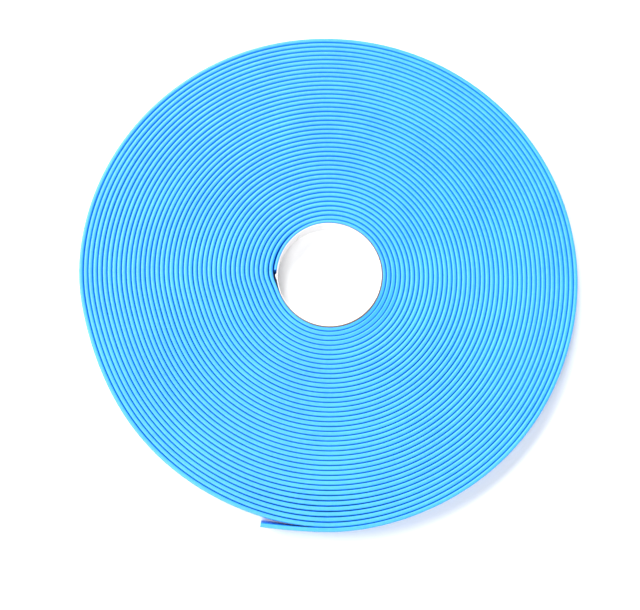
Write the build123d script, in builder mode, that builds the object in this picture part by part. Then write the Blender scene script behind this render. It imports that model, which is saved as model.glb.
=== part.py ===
from build123d import *

import os
from math import cos, degrees, radians, sin

# A roll of thick grip tape, lying on its side.
#
# The strip is wound edge-up on a paperboard core. +Z is up, along the bore.
# The origin is on the bore's axis, in the face that the roll lies on. Seen from
# above, the strip starts on the core at the left (-X) and winds clockwise and
# outwards. Its free end leaves the roll at the front (-Y) and points left.
# Angles are in degrees, counter-clockwise from +X. All lengths are in mm.

# ---- driving dimensions ----
core_bore_diameter = 76.2  # the common three-inch core
core_wall = 0.8  # thin spiral-wound paperboard
strip_width = 20.0
strip_thickness = 3.4
turn_pitch = 3.45  # one turn as wound: the strip and the air it traps
full_turns = 41  # whole turns below the outermost one
edge_round = 0.9  # radius on the strip's long edges

# The strip steps over its own inner end, and every later turn repeats that step.
step_foot_angle = 200.0  # a turn begins to climb here
step_head_angle = 175.0  # and has climbed one pitch here, where the strip begins

# Groove between the rounded edges of two neighbouring turns
groove_width = 0.8
groove_depth = 0.7

# Starter tab: the paper tape that holds the strip's inner end on the core
tab_thickness = 0.3
tab_width = 18.0
tab_hidden_angle = 162.0  # its end under the strip
tab_open_angle = 187.0  # its end in the gap under the step

# Outer quarter turn, which peels off the roll in short lengths
peel_start_angle = 0.0
peel_end_angle = -90.0
peel_lengths = 10

# Free tail: it has left the roll, and is straighter than the turns
tail_length = 49.0
tail_bend_radius = 420.0
tail_lengths = 3

# Clearances round the lengths that move
lift_gap = 0.2  # between a moving length and the turn below it
cut_gap = 0.2  # between one moving length and the next

# ---- derived ----
core_bore_radius = core_bore_diameter / 2
core_radius = core_bore_radius + core_wall
inner_turns_radius = core_radius + full_turns * turn_pitch
outer_radius = inner_turns_radius + turn_pitch
peel_inner_radius = inner_turns_radius + lift_gap
peel_outer_radius = peel_inner_radius + strip_thickness
tail_centre = (0.0, tail_bend_radius - peel_inner_radius)
tail_sweep = degrees(tail_length / (tail_bend_radius + strip_thickness / 2))

os.makedirs("parts", exist_ok=True)


def polar(radius, angle, centre=(0.0, 0.0)):
    """The point at this radius and angle about a centre."""
    x = centre[0] + radius * cos(radians(angle))
    y = centre[1] + radius * sin(radians(angle))
    return (x, y)


def clockwise(angle):
    """The strip's direction on a circle, at this angle."""
    return (sin(radians(angle)), -cos(radians(angle)))


def arc(radius, start, end, centre=(0.0, 0.0)):
    """An arc about a centre, from one angle to another."""
    return ThreePointArc(
        polar(radius, start, centre),
        polar(radius, (start + end) / 2, centre),
        polar(radius, end, centre),
    )


def step(radius, rise):
    """The climb of one turn to the next, from the foot of the step to its head."""
    return Spline(
        polar(radius, step_foot_angle),
        polar(radius + rise, step_head_angle),
        tangents=[clockwise(step_foot_angle), clockwise(step_head_angle)],
    )


def turn_line(radius):
    """One turn of a line that winds with the strip, with the step at its end."""
    arc(radius, step_head_angle, step_foot_angle - 360)
    step(radius, turn_pitch)


def groove_side(radius):
    """One long side of the groove, from the second turn to where the peel starts."""
    for turn in range(1, full_turns):
        turn_line(radius + turn * turn_pitch)
    arc(radius + full_turns * turn_pitch, step_head_angle, peel_start_angle)


def ring_sector(inner, outer, start, end, centre=(0.0, 0.0)):
    """The outline of a strip's stretch, seen along its width."""
    arc(inner, start, end, centre)
    Line(polar(inner, end, centre), polar(outer, end, centre))
    arc(outer, end, start, centre)
    Line(polar(outer, start, centre), polar(inner, start, centre))


# ---- core tube ----
with BuildPart() as core_tube:
    with BuildSketch():
        Circle(core_radius)
        Circle(core_bore_radius, mode=Mode.SUBTRACT)
    extrude(amount=strip_width)
core_tube.part.label = "core_tube"
export_step(core_tube.part, "parts/core_tube.step")

# ---- starter tab ----
tab_base = (strip_width - tab_width) / 2
with BuildPart() as starter_tab:
    with BuildSketch(Plane.XY.offset(tab_base)):
        with BuildLine():
            ring_sector(
                core_radius,
                core_radius + tab_thickness,
                tab_hidden_angle,
                tab_open_angle,
            )
        make_face()
    extrude(amount=tab_width)
starter_tab.part.label = "starter_tab"
export_step(starter_tab.part, "parts/starter_tab.step")

# ---- wound strip: all the turns that stay on the roll, lying against each other ----
with BuildPart() as wound_strip:
    with BuildSketch():
        with BuildLine():
            arc(outer_radius, step_head_angle, peel_start_angle)
            Line(
                polar(outer_radius, peel_start_angle),
                polar(inner_turns_radius, peel_start_angle),
            )
            arc(inner_turns_radius, peel_start_angle, step_foot_angle - 360)
            step(inner_turns_radius, turn_pitch)
        make_face()
        with BuildLine():
            turn_line(core_radius)
            Line(
                polar(core_radius + turn_pitch, step_head_angle),
                polar(core_radius, step_head_angle),
            )
        make_face(mode=Mode.SUBTRACT)
    extrude(amount=strip_width)
    # the rounded edges of neighbouring turns meet in a groove, on both faces
    with BuildSketch(Plane.XY, Plane.XY.offset(strip_width - groove_depth)):
        with BuildLine():
            groove_side(core_radius - groove_width / 2)
            groove_side(core_radius + groove_width / 2)
            for angle, turns in (
                (step_head_angle, 1),
                (peel_start_angle, full_turns),
            ):
                middle = core_radius + turns * turn_pitch
                Line(
                    polar(middle - groove_width / 2, angle),
                    polar(middle + groove_width / 2, angle),
                )
        make_face()
    extrude(amount=groove_depth, mode=Mode.SUBTRACT)
    # room for the tab under the strip's inner end
    with BuildSketch(Plane.XY.offset(tab_base)):
        with BuildLine():
            ring_sector(
                core_radius,
                core_radius + tab_thickness,
                tab_hidden_angle,
                step_head_angle,
            )
        make_face()
    extrude(amount=tab_width, mode=Mode.SUBTRACT)
wound_strip.part.label = "wound_strip"
export_step(wound_strip.part, "parts/wound_strip.step")


def strip_stretch(inner, start, end, centre=(0.0, 0.0)):
    """A short length of the strip, with its four long edges rounded."""
    outer = inner + strip_thickness
    trim = degrees(cut_gap / outer)
    with BuildPart() as stretch:
        with BuildSketch():
            with BuildLine():
                ring_sector(inner, outer, start - trim, end, centre)
            make_face()
        extrude(amount=strip_width)
        fillet(stretch.edges().filter_by(GeomType.CIRCLE), radius=edge_round)
    return stretch


# ---- peelable outer turn ----
peel_sweep = (peel_end_angle - peel_start_angle) / peel_lengths
for number in range(peel_lengths):
    start = peel_start_angle + number * peel_sweep
    outer_turn = strip_stretch(peel_inner_radius, start, start + peel_sweep)
    outer_turn.part.label = f"outer_turn_{number + 1:02d}"
    export_step(outer_turn.part, f"parts/{outer_turn.part.label}.step")

# ---- free tail ----
for number in range(tail_lengths):
    start = peel_end_angle - number * tail_sweep / tail_lengths
    free_tail = strip_stretch(
        tail_bend_radius, start, start - tail_sweep / tail_lengths, tail_centre
    )
    free_tail.part.label = f"free_tail_{number + 1}"
    export_step(free_tail.part, f"parts/{free_tail.part.label}.step")
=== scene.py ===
import math

import bpy
import numpy as np
from mathutils import Matrix, Vector


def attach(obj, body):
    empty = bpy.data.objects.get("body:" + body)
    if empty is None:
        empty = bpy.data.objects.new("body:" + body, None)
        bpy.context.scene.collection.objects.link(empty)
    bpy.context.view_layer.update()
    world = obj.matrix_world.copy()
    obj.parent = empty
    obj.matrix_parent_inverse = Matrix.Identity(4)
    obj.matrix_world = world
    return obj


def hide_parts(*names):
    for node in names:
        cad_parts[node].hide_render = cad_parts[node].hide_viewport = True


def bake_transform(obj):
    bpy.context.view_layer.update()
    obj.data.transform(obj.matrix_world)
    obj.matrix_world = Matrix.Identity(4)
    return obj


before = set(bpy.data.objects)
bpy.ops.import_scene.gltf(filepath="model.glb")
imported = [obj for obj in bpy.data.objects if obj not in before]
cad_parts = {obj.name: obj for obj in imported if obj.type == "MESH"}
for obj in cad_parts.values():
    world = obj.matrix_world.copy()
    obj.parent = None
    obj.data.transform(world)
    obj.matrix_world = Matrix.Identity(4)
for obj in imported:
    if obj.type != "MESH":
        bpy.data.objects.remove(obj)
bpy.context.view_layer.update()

# The roll lies on the floor. From above, the strip starts on the core at the left and winds
# clockwise and outwards, and its free end leaves the roll at the front and points left.
MM = 0.001

# ---- the strip and the core, as the CAD has them ----
BORE_RADIUS = 38.1 * MM
CORE_RADIUS = 38.9 * MM
WIDTH = 20.0 * MM
PITCH = 3.45 * MM
FULL_TURNS = 41
PEEL_LENGTHS = 10
PEEL_SWEEP = 9.0
TAIL_LENGTHS = 3
TAIL_LENGTH = 49.0 * MM
TAIL_BEND = 420.0 * MM

# A place along the strip is how far it has turned, in degrees clockwise from nine o'clock.
STRIP_START = 5.0
PEEL_START = FULL_TURNS * 360 + 180.0
LEAVING = PEEL_START + PEEL_LENGTHS * PEEL_SWEEP  # the free tail leaves the roll here
TAIL_RADIUS = 184 * MM  # turns the tail's length into degrees
TAIL_END = LEAVING + math.degrees(TAIL_LENGTH / TAIL_RADIUS)
STEP_MIDDLE = -7.0  # every turn climbs over the strip's inner end here
STEP_SOFTNESS = 4.3

# ---- the strip's cross-section ----
THICKNESS = 3.1 * MM  # at its edges
FIRST_TURN = 2.66 * MM  # the same where the first turn is squeezed against the core
SQUEEZED = 2.3 * MM  # and where it is squeezed most, at the strip's inner end
SQUEEZED_UNTIL = (30, 130)  # degrees along the strip, from where it thickens to where it has
FIRST_TURN_UNTIL = (300, 420)
BELLY = 0.066  # how far each wide face bulges, as a share of the thickness, so the turns touch
DOME = 1.7 * MM  # how far its rounded edges reach down its sides
SLIT = 4.2 * MM  # how far down its neighbours touch it
DOME_POWER = 2.9  # 2 would be an ellipse, and more is squarer
DOME_POINTS = 15
STATIONS_PER_TURN = 144
NEARBY = 0.02  # half the step that finds the strip's direction, in degrees
MEASURING_STEPS = 24000
UNDERSIDE_SHIFT = 4000  # reads the lower edge's wander further along than the upper one's
FLATTER_SLIT = 0.55  # how much higher the neighbours of a flat edge touch it, as a share
BULGE_FADES = (0.0, 0.4)  # shares of the tail, where the bulge of its faces fades out
TAIL_TWISTS = (0.2, 1.0)
TAIL_TWIST = math.radians(5.0)
TAIL_SPRING = 0.5 * MM  # its end stands this much further out than its bend alone brings it

# ---- where the winding is uneven ----
# Each bump is its height, its middle in degrees counter-clockwise from +X, and its reach.
# A pair of numbers is where something starts and is complete, in turns of the strip.
DENT = (0.35 * MM, 160, 45)  # the strip's inner end has pressed into the paperboard
THIN_FIRST_TURN = 0.45 * MM  # the later turns lie this much nearer the core
SECOND_TURN = (0.93, 1.0)
OVER_INNER_END = (0.55 * MM, 108, 30)  # the turns over the thin inner end sink in
SINKING_TURNS = 14  # they sink less and less over this many turns
LOOSE = (26, 41.5)  # the outer turns are looser than the inner ones
LOOSE_SAG = (0.35 * MM, 268, 22)  # they sag at six o'clock
LAST_SAG = (1.5 * MM, 268, 17)  # and the last of them sag more
LAST = (33, 41.8)
LOOSE_PULLS = ((0.65 * MM, 203, 14), (0.7 * MM, 340, 15), (0.8 * MM, 85, 28))  # they pull in here
LOOSE_SWELLS = ((0.25 * MM, 155, 18), (0.25 * MM, 28, 18))  # and stand out here
WANDER = 0.035 * MM  # every turn wanders slowly in and out
WANDERING = (0.4, 2)
SINK = 0.10 * MM  # how far the upper edge lies below the roll's face, on average
SLIPPED_INNER = (1, 318, 42)  # the innermost turns have slipped below the face at the lower right
SLIPPED_TURNS = 4.2
SLIPPED_DEPTH = 0.6 * MM
SLIPPED_SLOPE = 0.25  # how far their edges lean, outwards and down
SLIPPED_OUTER = (0.7 * MM, 176, 24)  # and so have two outer ones at nine o'clock
OUTER_FROM = (39.5, 39.7)
OUTER_UNTIL = (41.1, 41.3)
FLAT_INNER = 0.9  # how much flatter the slipped turns' edges are
FLAT_SIDE = (0.5, 240, 42)  # and those of all turns at the lower left

# ---- the core tube and the starter tab ----
TUBE_STATIONS = 240
TUBE_GAP = 0.03 * MM  # between the tube and the strip
CUT_DEPTH = 0.1 * MM  # how far its upper cut lies below the roll's face
BURR = 0.06 * MM  # how rough its upper cut is
LIP = (0.45 * MM, 312, 75)  # the upper cut has crushed a lip into the bore
SEAM_PLACE = 95 * MM  # round the inside of the tube, where its liner's seam crosses
TAB_STATIONS = 52
TAB_START = 163.0  # in degrees counter-clockwise from +X
TAB_END = 188.5
TAB_THICKNESS = 0.12 * MM
TAB_TOP = 19.1 * MM  # apart from its dog-ear
EAR_FLARE = 0.95 * MM  # how far the dog-ear's tip stands out
EAR_STARTS = (178.6, 180.2)
EAR_ENDS = (181.5, 187.0)


def smooth(x, low=0.0, high=1.0):
    """0 below low, 1 above high, and an S-curve between them."""
    t = np.clip((np.asarray(x, float) - low) / (high - low), 0.0, 1.0)
    return t * t * (3 - 2 * t)


def bump(angle, height, middle, reach):
    """The whole height at the middle angle, and nearly 0 at twice the reach from it."""
    away = (np.asarray(angle, float) - middle + 180) % 360 - 180
    return height * np.exp(-((away / reach) ** 2))


def waves(x, seed, longest):
    """A smooth wander along x, within about -1 to 1: five waves, each shorter and lower than the last."""
    rng = np.random.default_rng(seed)
    total = np.zeros_like(np.asarray(x, float))
    for n in range(5):
        length = longest / (1.0 + n * 0.83)
        total += np.sin(2 * np.pi * (x / length + rng.random())) / (1.0 + 0.6 * n)
    return total / 2.2


# ---- the strip's line and cross-section ----
def direction(turned):
    """The way from the middle of the roll, in degrees counter-clockwise from +X."""
    return (180.0 - np.asarray(turned, float)) % 360


def thickness(turned):
    """The strip is squeezed thin at its inner end, and a little all round its first turn."""
    first = SQUEEZED + (FIRST_TURN - SQUEEZED) * smooth(turned, *SQUEEZED_UNTIL)
    return first + (THICKNESS - FIRST_TURN) * smooth(turned, *FIRST_TURN_UNTIL)


def inner_face(turned):
    """The radius of the strip's inner face."""
    turned = np.asarray(turned, float)
    where = direction(turned)
    layer = turned / 360
    radius = np.full_like(turned, CORE_RADIUS)
    for n in range(1, FULL_TURNS + 2):
        radius += PITCH / (1 + np.exp(-(turned - 360 * n - STEP_MIDDLE) / STEP_SOFTNESS))
    wound = smooth(layer, *SECOND_TURN)
    radius -= THIN_FIRST_TURN * wound + bump(where, *DENT) * (1 - wound)
    radius -= bump(where, *OVER_INNER_END) * wound * np.exp(-layer / SINKING_TURNS)
    sag = bump(where, *LOOSE_SAG) + bump(where, *LAST_SAG) * smooth(layer, *LAST)
    pull = sum(bump(where, *each) for each in LOOSE_PULLS)
    swell = sum(bump(where, *each) for each in LOOSE_SWELLS)
    radius += smooth(layer, *LOOSE) * (sag - pull + swell)
    return radius + WANDER * waves(turned, 11, 700) * smooth(layer, *WANDERING)


def slipped(turned):
    """1 where the innermost turns have slipped below the roll's face, lower right of the hole."""
    layer = np.asarray(turned, float) / 360
    return bump(direction(turned), *SLIPPED_INNER) * np.exp(-((layer / SLIPPED_TURNS) ** 6))


def sink(turned):
    """How far the strip's upper edge lies below the roll's face."""
    layer = turned / 360
    outer = smooth(layer, *OUTER_FROM) * (1 - smooth(layer, *OUTER_UNTIL))
    below = SLIPPED_DEPTH * slipped(turned) + outer * bump(direction(turned), *SLIPPED_OUTER)
    return below + SINK * (1 + waves(turned, 23, 900))


def flattened(turned):
    """How much flatter than a full dome the strip's edges are: most where it has slipped."""
    return FLAT_INNER * slipped(turned) + bump(direction(turned), *FLAT_SIDE)


def line(turned):
    """The strip's inner face seen from above, and the direction outwards from it."""
    turned = np.asarray(turned, float)
    along = np.radians(np.maximum(turned - LEAVING, 0)) * TAIL_RADIUS
    on_roll = np.minimum(turned, LEAVING)
    angle = np.radians(180.0 - on_roll)
    outward = np.stack([np.cos(angle), np.sin(angle)], axis=1)
    points = outward * inner_face(on_roll)[:, None]
    # the tail bends less than the roll does, so it leaves it
    bend = along / TAIL_BEND
    points[:, 0] -= TAIL_BEND * np.sin(bend)
    points[:, 1] += TAIL_BEND * (1 - np.cos(bend))
    points[:, 1] += TAIL_SPRING * smooth(along, 0, TAIL_LENGTH)
    return points, outward


def profile():
    """Half the strip's cross-section: across it from 0 to 1, and the drop from its upper or lower edge."""
    turn = np.linspace(0, np.pi, DOME_POINTS)
    power = 2 / DOME_POWER
    across = 0.5 - 0.5 * np.sign(np.cos(turn)) * np.abs(np.cos(turn)) ** power
    drop = DOME * (1 - np.abs(np.sin(turn)) ** power)
    across = np.concatenate([[-BELLY], across, [1 + BELLY]])
    drop = np.concatenate([[SLIT], drop, [SLIT]])
    return across, drop


def section(turned):
    """The cross-section at each place: how far out from the inner face its points are, and how high."""
    across, drop = profile()
    thick = thickness(turned)[:, None]
    flatter = flattened(turned)[:, None]
    high = (WIDTH - sink(turned))[:, None] - DOME * np.minimum(drop / DOME, 1) ** (1 + flatter)
    high -= np.maximum(drop - DOME, 0) * (1 - FLATTER_SLIT * flatter)
    high -= SLIPPED_SLOPE * slipped(turned)[:, None] * thick * across
    low = 0.5 * sink(turned + UNDERSIDE_SHIFT)[:, None] + drop[::-1]
    z = np.concatenate([high, low], axis=1)
    # where the tail leaves the roll, the bulge fades and the tail twists
    off_roll = (turned - LEAVING) / (TAIL_END - LEAVING)
    pressed = 1 - smooth(off_roll, *BULGE_FADES)[:, None]
    twist = TAIL_TWIST * smooth(off_roll, *TAIL_TWISTS)[:, None]
    bulged = np.concatenate([across, across[::-1]])
    flat = np.clip(bulged, 0, 1)
    out = (flat + (bulged - flat) * pressed) * thick - (WIDTH - z) * np.tan(twist)
    return out, z


# how far along the strip a place is, in metres
measured = np.linspace(STRIP_START, TAIL_END, MEASURING_STEPS)
steps_along = np.linalg.norm(np.diff(line(measured)[0], axis=0), axis=1)
run = np.concatenate([[0.0], np.cumsum(steps_along)])


# ---- meshes ----
def loft(name, rings, around, along, closed_ends=True):
    """A mesh tube through rings of points. around and along give its UV map, in metres."""
    count, n = rings.shape[:2]
    ring = np.arange(n)
    after = (ring + 1) % n
    base = np.arange(count - 1)[:, None] * n
    quads = np.stack([base + ring, base + n + ring, base + n + after, base + after], axis=2)
    faces = quads.reshape(-1, 4).tolist()
    if closed_ends:
        faces.append(list(range(n)))
        faces.append(list(range(count * n - 1, (count - 1) * n - 1, -1)))
    mesh = bpy.data.meshes.new(name)
    mesh.from_pydata(rings.reshape(-1, 3).tolist(), [], faces)
    mesh.polygons.foreach_set("use_smooth", np.ones(len(faces), bool))
    if closed_ends:
        ends = np.zeros(len(mesh.edges) * 2, int)
        mesh.edges.foreach_get("vertices", ends)
        ends = ends.reshape(-1, 2)
        sharp = (ends < n).all(axis=1) | (ends >= (count - 1) * n).all(axis=1)
        mesh.edges.foreach_set("use_edge_sharp", sharp)
    loops = np.zeros(len(mesh.loops), int)
    mesh.loops.foreach_get("vertex_index", loops)
    coords = np.stack([along[loops // n], around[loops % n]], axis=1)
    # the last quad of each ring ends at the full way round, not back at 0
    sides = (count - 1) * n * 4
    wrapped = ((np.arange(sides) // 4) % n == n - 1) & (loops[:sides] % n == 0)
    coords[:sides][wrapped, 1] = around[n]
    mesh.uv_layers.new(name="surface").data.foreach_set("uv", coords.astype(np.float32).ravel())
    mesh.update()
    obj = bpy.data.objects.new(name, mesh)
    bpy.context.collection.objects.link(obj)
    return obj


def ring_points(angle, radius, height):
    """Rings of points round the bore, from their angles in radians, radii and heights."""
    rings = np.zeros((*radius.shape, 3))
    rings[:, :, 0] = np.cos(angle)[:, None] * radius
    rings[:, :, 1] = np.sin(angle)[:, None] * radius
    rings[:, :, 2] = height
    return rings


def strip(name, start, end):
    """A closed length of the strip, between two places on it."""
    count = max(6, int(round((end - start) / 360 * STATIONS_PER_TURN)) + 1)
    turned = np.linspace(start, end, count)
    points, outward = line(turned)
    ahead = line(turned + NEARBY)[0] - line(turned - NEARBY)[0]
    ahead /= np.linalg.norm(ahead, axis=1)[:, None]
    free = turned > LEAVING
    outward[free] = np.stack([-ahead[free, 1], ahead[free, 0]], axis=1)
    out, z = section(turned)
    rings = np.zeros((*out.shape, 3))
    rings[:, :, :2] = points[:, None, :] + outward[:, None, :] * out[:, :, None]
    rings[:, :, 2] = z
    steps = np.linalg.norm(np.diff(rings[-1], axis=0, append=rings[-1][:1]), axis=1)
    around = np.concatenate([[0], np.cumsum(steps)])
    return loft(name, rings, around, np.interp(turned, measured, run))


def middle_of(turned):
    """The middle of the strip at this place."""
    points, outward = line(np.array([turned]))
    x, y = points[0] + outward[0] * THICKNESS / 2
    return (float(x), float(y), WIDTH / 2)


def core_tube():
    """The paperboard tube: cut edges a little rough, and slightly rounded."""
    angle = np.linspace(0, 2 * np.pi, TUBE_STATIONS + 1)
    where = np.degrees(angle)
    rng = np.random.default_rng(5)
    burr = BURR * (waves(angle, 3, 2 * np.pi / 9) + 0.5 * rng.standard_normal(len(angle)))
    burr[-1] = burr[0]
    wall = CORE_RADIUS - TUBE_GAP - BORE_RADIUS - bump(where, *DENT)
    # across the wall, the drop from the cut edge, and the lip's share
    across = np.array([0, 0, 0, 0.06, 0.2, 0.5, 0.8, 0.94, 1, 1])
    drop = np.array([9, 1.1, 0.5, 0.15, 0.03, 0, 0.03, 0.15, 0.5, 9]) * MM
    lipped = np.array([0, 0, 0.7, 1, 0.9, 0.5, 0.2, 0, 0, 0])
    radius = BORE_RADIUS + np.concatenate([across, across[::-1]]) * wall[:, None]
    radius[:, : len(across)] -= lipped * bump(where, *LIP)[:, None]
    at_cut = np.where(drop < 1 * MM, 1.0, 0.0)
    upper = WIDTH - CUT_DEPTH + burr[:, None] * at_cut - drop
    lower = np.repeat(drop[None, ::-1], len(angle), axis=0)
    rings = ring_points(angle, radius, np.concatenate([upper, lower], axis=1))
    # every side of the section counts the same in its UV map
    around = np.arange(radius.shape[1] + 1) * 2.4 * MM
    return loft("core_paperboard", rings, around, angle * BORE_RADIUS, closed_ends=False)


def starter_tab():
    """White paper tape from under the strip's inner end. The top of its free end is dog-eared outwards."""
    angle = np.linspace(TAB_START, TAB_END, TAB_STATIONS)
    ear = (smooth(angle, *EAR_STARTS) * (1 - smooth(angle, *EAR_ENDS)))[:, None]
    # up the tape, and how far its dog-ear stands out there
    height = np.array([0.8, 6, 12, 17, 18.9, 19.35, 19.5, 19.42]) * MM
    flare = np.array([0, 0, 0, 0, 0.02, 0.12, 0.5, 1.0]) * EAR_FLARE
    flat = np.minimum(height, TAB_TOP)
    level = np.concatenate([height, height[::-1]])
    level_flat = np.concatenate([flat, flat[::-1] + 0.02 * MM])
    out = np.concatenate([flare, flare[::-1]])
    face = np.repeat([0.0, 1.0], len(height)) * TAB_THICKNESS
    radius = CORE_RADIUS - bump(angle, *DENT)[:, None] + face + ear * out
    rings = ring_points(np.radians(angle), radius, level_flat + (level - level_flat) * ear)
    around = np.linspace(0, 36 * MM, len(level) + 1)
    return loft("starter_tape", rings[:, ::-1], around, np.radians(angle) * CORE_RADIUS)


# ---- shader nodes ----
def material(name):
    """A material with no nodes yet, and its node tree."""
    mat = bpy.data.materials.new(name)
    mat.use_nodes = True
    mat.node_tree.nodes.clear()
    return mat, mat.node_tree


def feed(tree, socket, value):
    """Sets an input, or links another node's output to it."""
    if isinstance(value, bpy.types.NodeSocket):
        tree.links.new(value, socket)
    else:
        socket.default_value = value


def node(tree, kind, **values):
    """A node. Each value feeds the input of that name, with _ for a space, or else is a setting."""
    made = tree.nodes.new(kind)
    for key, value in values.items():
        name = key.replace("_", " ")
        if name in made.inputs:
            feed(tree, made.inputs[name], value)
        else:
            setattr(made, key, value)
    return made


def maths(tree, operation, *values):
    """The result of a Math node."""
    made = node(tree, "ShaderNodeMath", operation=operation)
    for socket, value in zip(made.inputs, values):
        feed(tree, socket, value)
    return made.outputs["Value"]


def vector_maths(tree, operation, result, *values):
    """One output of a Vector Math node, by its name."""
    made = node(tree, "ShaderNodeVectorMath", operation=operation)
    for socket, value in zip(made.inputs, values):
        feed(tree, socket, value)
    return made.outputs[result]


def height_of(tree, where):
    """The height of a point above the floor, from its Object coordinates."""
    return node(tree, "ShaderNodeSeparateXYZ", Vector=where.outputs["Object"]).outputs["Z"]


def rising(tree, value, low, high):
    """0 below low, 1 above high, and straight between them."""
    made = node(tree, "ShaderNodeMapRange", Value=value, From_Min=low, From_Max=high)
    return made.outputs["Result"]


def noise(tree, vector, scale, detail, roughness):
    """Fractal noise from about 0 to 1."""
    made = node(tree, "ShaderNodeTexNoise", Vector=vector, Scale=scale, Detail=detail, Roughness=roughness)
    return made.outputs["Fac"]


def stretched(tree, where, scale):
    """The UV coordinates at another scale along each axis."""
    return node(tree, "ShaderNodeMapping", Vector=where.outputs["UV"], Scale=scale).outputs["Vector"]


def ramp(tree, value, stops):
    """A colour that follows a value through stops, each a place from 0 to 1 and a colour."""
    made = node(tree, "ShaderNodeValToRGB", Fac=value)
    elements = made.color_ramp.elements
    for place, _ in stops[2:]:
        elements.new(place)
    for element, (place, colour) in zip(elements, stops):
        element.position = place
        element.color = (*colour, 1)
    return made.outputs["Color"]


def grey(level):
    """A grey of this level."""
    return (level, level, level)


def mix(tree, blend_type, amount, first, second):
    """Two colours or values mixed."""
    made = node(tree, "ShaderNodeMix", data_type="RGBA", blend_type=blend_type)
    feed(tree, made.inputs["Factor"], amount)
    feed(tree, made.inputs["A"], first)
    feed(tree, made.inputs["B"], second)
    return made.outputs["Result"]


def finish_material(tree, shader, height=None, depth=0.0, strength=0.0):
    """Bump from a height, where there is one, and the output."""
    if height is not None:
        bumps = node(tree, "ShaderNodeBump", Strength=strength, Distance=depth, Height=height)
        tree.links.new(bumps.outputs["Normal"], shader.inputs["Normal"])
    node(tree, "ShaderNodeOutputMaterial", Surface=shader.outputs[0])


# ---- materials ----
def strip_material():
    """Soft blue rubber: slow patches of tone, fine lengthwise drawing lines, and a close matte grain."""
    mat, tree = material("soft_blue_strip")
    where = node(tree, "ShaderNodeTexCoord")
    place = where.outputs["Object"]
    patches = noise(tree, place, 24.0, 4.0, 0.6)
    tone = ramp(tree, patches, [(0.3, (0.014, 0.325, 0.94)), (0.7, (0.026, 0.390, 0.97))])
    # lines along the strip, from the die that it was drawn through
    lines = noise(tree, stretched(tree, where, (7.0, 620.0, 1.0)), 1.0, 6.0, 0.72)
    streaks = ramp(tree, lines, [(0.36, (0.80, 0.88, 0.94)), (0.64, (1.10, 1.07, 1.02))])
    streaked = mix(tree, "MULTIPLY", 0.8, tone, streaks)
    # a few pale specks of dust
    specks = node(tree, "ShaderNodeTexVoronoi", Vector=place, Scale=260.0).outputs["Distance"]
    few = ramp(tree, specks, [(0.03, grey(0.10)), (0.075, grey(0.0))])
    dusted = mix(tree, "ADD", 0.35, streaked, few)
    # the upper and lower edges are scuffed a little paler
    off_middle = maths(tree, "SUBTRACT", height_of(tree, where), WIDTH / 2)
    reach = maths(tree, "ABSOLUTE", off_middle)
    near_edge = rising(tree, reach, WIDTH / 2 - 1.6 * MM, WIDTH / 2 - 0.1 * MM)
    scuffs = noise(tree, place, 420.0, 5.0, 0.7)
    patchy = ramp(tree, scuffs, [(0.42, grey(0.0)), (0.68, grey(0.55))])
    worn = maths(tree, "MULTIPLY", near_edge, patchy)
    scuffed = mix(tree, "MIX", worn, dusted, (0.050, 0.43, 0.96, 1))
    grain = noise(tree, place, 2400.0, 4.0, 0.6)
    matte = ramp(tree, grain, [(0.3, grey(0.42)), (0.7, grey(0.54))])
    shader = node(tree, "ShaderNodeBsdfPrincipled", Base_Color=scuffed, Roughness=matte)
    shader.inputs["Specular IOR Level"].default_value = 0.5
    shader.inputs["Coat Weight"].default_value = 0.8
    shader.inputs["Coat Roughness"].default_value = 0.42
    height = mix(tree, "MIX", 0.4, grain, lines)
    finish_material(tree, shader, height, depth=0.12 * MM, strength=0.3)
    return mat


def board_material():
    """Spiral-wound paperboard: brown-grey plies at the cut edge, and a white liner with a slanting seam."""
    mat, tree = material("paperboard")
    where = node(tree, "ShaderNodeTexCoord")
    place = where.outputs["Object"]
    fibres = noise(tree, place, 1500.0, 4.0, 0.7)
    # how far into the wall; near the upper cut this is shifted so that the white liner shows wider at the
    # upper left, towards the light, and the brown plies wider at the shaded lower right: painted light and
    # shade
    level_place = vector_maths(tree, "MULTIPLY", "Vector", place, (1, 1, 0))
    radius = vector_maths(tree, "LENGTH", "Value", level_place)
    painted_light_shift = vector_maths(tree, "DOT_PRODUCT", "Value", place, (0.0085, -0.0080, 0.0))
    near_cut = rising(tree, height_of(tree, where), WIDTH - 0.9 * MM, WIDTH - 0.3 * MM)
    radius_with_painted_light = maths(tree, "ADD", radius, maths(tree, "MULTIPLY", painted_light_shift, near_cut))
    ragged = maths(tree, "ADD", radius_with_painted_light, maths(tree, "MULTIPLY", fibres, 0.08 * MM))
    into = rising(tree, ragged, BORE_RADIUS + 0.06 * MM, CORE_RADIUS + 0.06 * MM)
    liner = (0.93, 0.92, 0.93)
    brown = (0.24, 0.17, 0.125)
    glue = (0.13, 0.095, 0.075)
    stops = [(0.0, liner), (0.24, liner), (0.30, glue)]
    stops += [(0.36, brown), (0.62, brown), (0.66, glue), (0.70, brown)]
    plies = ramp(tree, into, stops)
    mottle = ramp(tree, fibres, [(0.3, (0.86, 0.85, 0.84)), (0.7, grey(1.05))])
    coloured = mix(tree, "MULTIPLY", 1.0, plies, mottle)
    # the seam where the liner's edges meet
    across_seam = vector_maths(tree, "DOT_PRODUCT", "Value", where.outputs["UV"], (0.82, 0.57, 0.0))
    away = maths(tree, "ABSOLUTE", maths(tree, "SUBTRACT", across_seam, SEAM_PLACE))
    beside = rising(tree, away, 0.1 * MM, 0.4 * MM)
    gap = ramp(tree, beside, [(0.0, (0.55, 0.50, 0.46)), (1.0, grey(1.0))])
    seamed = mix(tree, "MULTIPLY", 1.0, coloured, gap)
    shader = node(tree, "ShaderNodeBsdfPrincipled", Base_Color=seamed, Roughness=0.85)
    height = mix(tree, "MULTIPLY", 1.0, fibres, beside)
    finish_material(tree, shader, height, depth=0.1 * MM, strength=0.5)
    return mat


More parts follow.
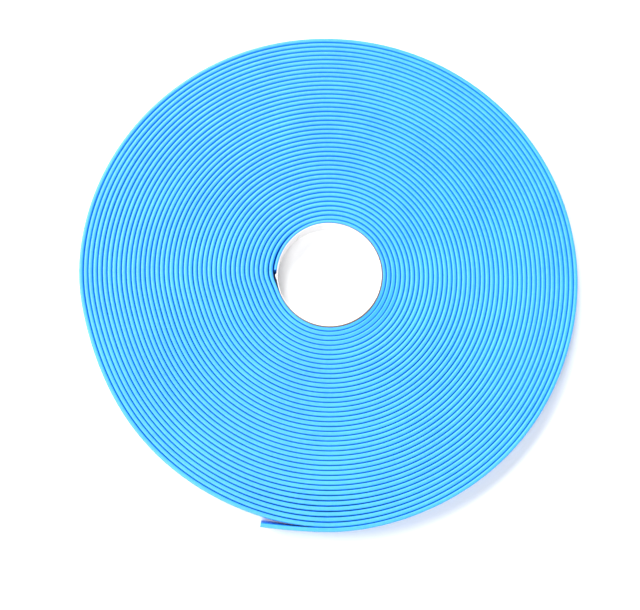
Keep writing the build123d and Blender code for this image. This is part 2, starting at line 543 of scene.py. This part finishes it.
def paper_material():
    """White paper tape, finely creped."""
    mat, tree = material("white_paper_tape")
    where = node(tree, "ShaderNodeTexCoord")
    crepe = noise(tree, stretched(tree, where, (2600.0, 300.0, 1.0)), 1.0, 4.0, 0.6)
    tone = ramp(tree, crepe, [(0.3, (0.78, 0.78, 0.79)), (0.7, grey(0.93))])
    shader = node(tree, "ShaderNodeBsdfPrincipled", Base_Color=tone, Roughness=0.75)
    finish_material(tree, shader, crepe, depth=0.1 * MM, strength=0.5)
    return mat


def floor_material():
    """Plain and pale."""
    mat, tree = material("pale_floor")
    shader = node(tree, "ShaderNodeBsdfPrincipled", Base_Color=(0.93, 0.935, 0.94, 1), Roughness=0.9)
    finish_material(tree, shader)
    return mat


# ---- the strip's pieces ----
# Each piece that bends runs from the middle of one short CAD length to the middle of the next.
lengths = ["outer_turn_%02d" % (n + 1) for n in range(PEEL_LENGTHS)]
lengths += ["free_tail_%d" % (n + 1) for n in range(TAIL_LENGTHS)]
tail_sweep = (TAIL_END - LEAVING) / TAIL_LENGTHS
starts = [PEEL_START + n * PEEL_SWEEP for n in range(PEEL_LENGTHS)]
starts += [LEAVING + n * tail_sweep for n in range(TAIL_LENGTHS)]
ends = starts[1:] + [TAIL_END]
middles = [(start + end) / 2 for start, end in zip(starts, ends)]
cuts = [PEEL_START - PEEL_SWEEP / 2] + middles

turns = strip("strip_turns", STRIP_START, cuts[0])
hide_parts("wound_strip")
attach(turns, "roll")
strip_pieces = [turns]
for n, body in enumerate(lengths):
    piece = strip("strip_bend_%02d" % (n + 1), cuts[n], cuts[n + 1])
    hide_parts(body)
    middle_of(cuts[n])
    middle_of(cuts[n + 1])
    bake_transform(piece)
    strip_pieces.append(piece)
tip = strip("strip_end", cuts[-1], TAIL_END)
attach(tip, lengths[-1])
strip_pieces.append(tip)
blue = strip_material()
for piece in strip_pieces:
    piece.data.materials.append(blue)

# ---- the core tube and the starter tab ----
tube = core_tube()
tube.data.materials.append(board_material())
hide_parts("core_tube")
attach(tube, "roll")
tape = starter_tab()
tape.data.materials.append(paper_material())
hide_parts("starter_tab")
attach(tape, "roll")

# ---- floor and backdrop ----
FLOOR_SIZE = 40.0
BACKDROP_RADIUS = 10.0
BACKDROP_HEIGHT = 6.0

bpy.ops.mesh.primitive_plane_add(size=FLOOR_SIZE, location=(0, 0, 0))
floor = bpy.context.object
floor.name = "floor"
bpy.ops.mesh.primitive_cylinder_add(
    vertices=96,
    radius=BACKDROP_RADIUS,
    depth=BACKDROP_HEIGHT,
    end_fill_type="NOTHING",
    location=(0, 0, BACKDROP_HEIGHT / 2),
)
backdrop = bpy.context.object
backdrop.name = "backdrop"
# it closes off the horizon, and takes no part in the light on the roll
backdrop.visible_diffuse = False
backdrop.visible_glossy = False
backdrop.visible_transmission = False
backdrop.visible_shadow = False
pale = floor_material()
floor.data.materials.append(pale)
backdrop.data.materials.append(pale)


# ---- light ----
def soft_light(name, bearing, height, width, strength):
    """Even light from a wide source far away. Bearing, height and width are angles in degrees."""
    data = bpy.data.lights.new(name, "SUN")
    data.angle = math.radians(width)
    data.energy = strength
    lamp = bpy.data.objects.new(name, data)
    lamp.rotation_euler = (0, math.radians(90 - height), math.radians(bearing))
    bpy.context.collection.objects.link(lamp)


soft_light("key_top", bearing=110, height=48, width=26, strength=2.13)
soft_light("key_left", bearing=160, height=48, width=26, strength=2.13)
soft_light("fill", bearing=235, height=64, width=30, strength=1.50)
world = bpy.data.worlds.new("studio")
world.use_nodes = True
world.node_tree.nodes["Background"].inputs["Color"].default_value = (0.96, 0.98, 1.0, 1)
world.node_tree.nodes["Background"].inputs["Strength"].default_value = 0.43
bpy.context.scene.world = world
bpy.context.scene.view_settings.view_transform = "Standard"

# ---- camera ----
CAMERA_TILT = math.radians(9.5)
CAMERA_SWING = math.radians(-1.87)
CAMERA_DISTANCE = 0.8364
CAMERA_AIM = Vector((-0.00707, -0.02263, WIDTH))
CAMERA_LENS = 64.7
CAMERA_SENSOR = 36.0

camera_data = bpy.data.cameras.new("camera")
camera_data.lens = CAMERA_LENS
camera_data.sensor_width = CAMERA_SENSOR
camera = bpy.data.objects.new("camera", camera_data)
away = Vector(
    (
        math.sin(CAMERA_SWING) * math.cos(CAMERA_TILT),
        -math.sin(CAMERA_TILT),
        math.cos(CAMERA_SWING) * math.cos(CAMERA_TILT),
    )
)
right = Vector((0, 1, 0)).cross(away).normalized()
facing = Matrix((right, away.cross(right), away)).transposed()
camera.matrix_world = Matrix.Translation(CAMERA_AIM + away * CAMERA_DISTANCE) @ facing.to_4x4()
bpy.context.collection.objects.link(camera)
bpy.context.scene.camera = camera
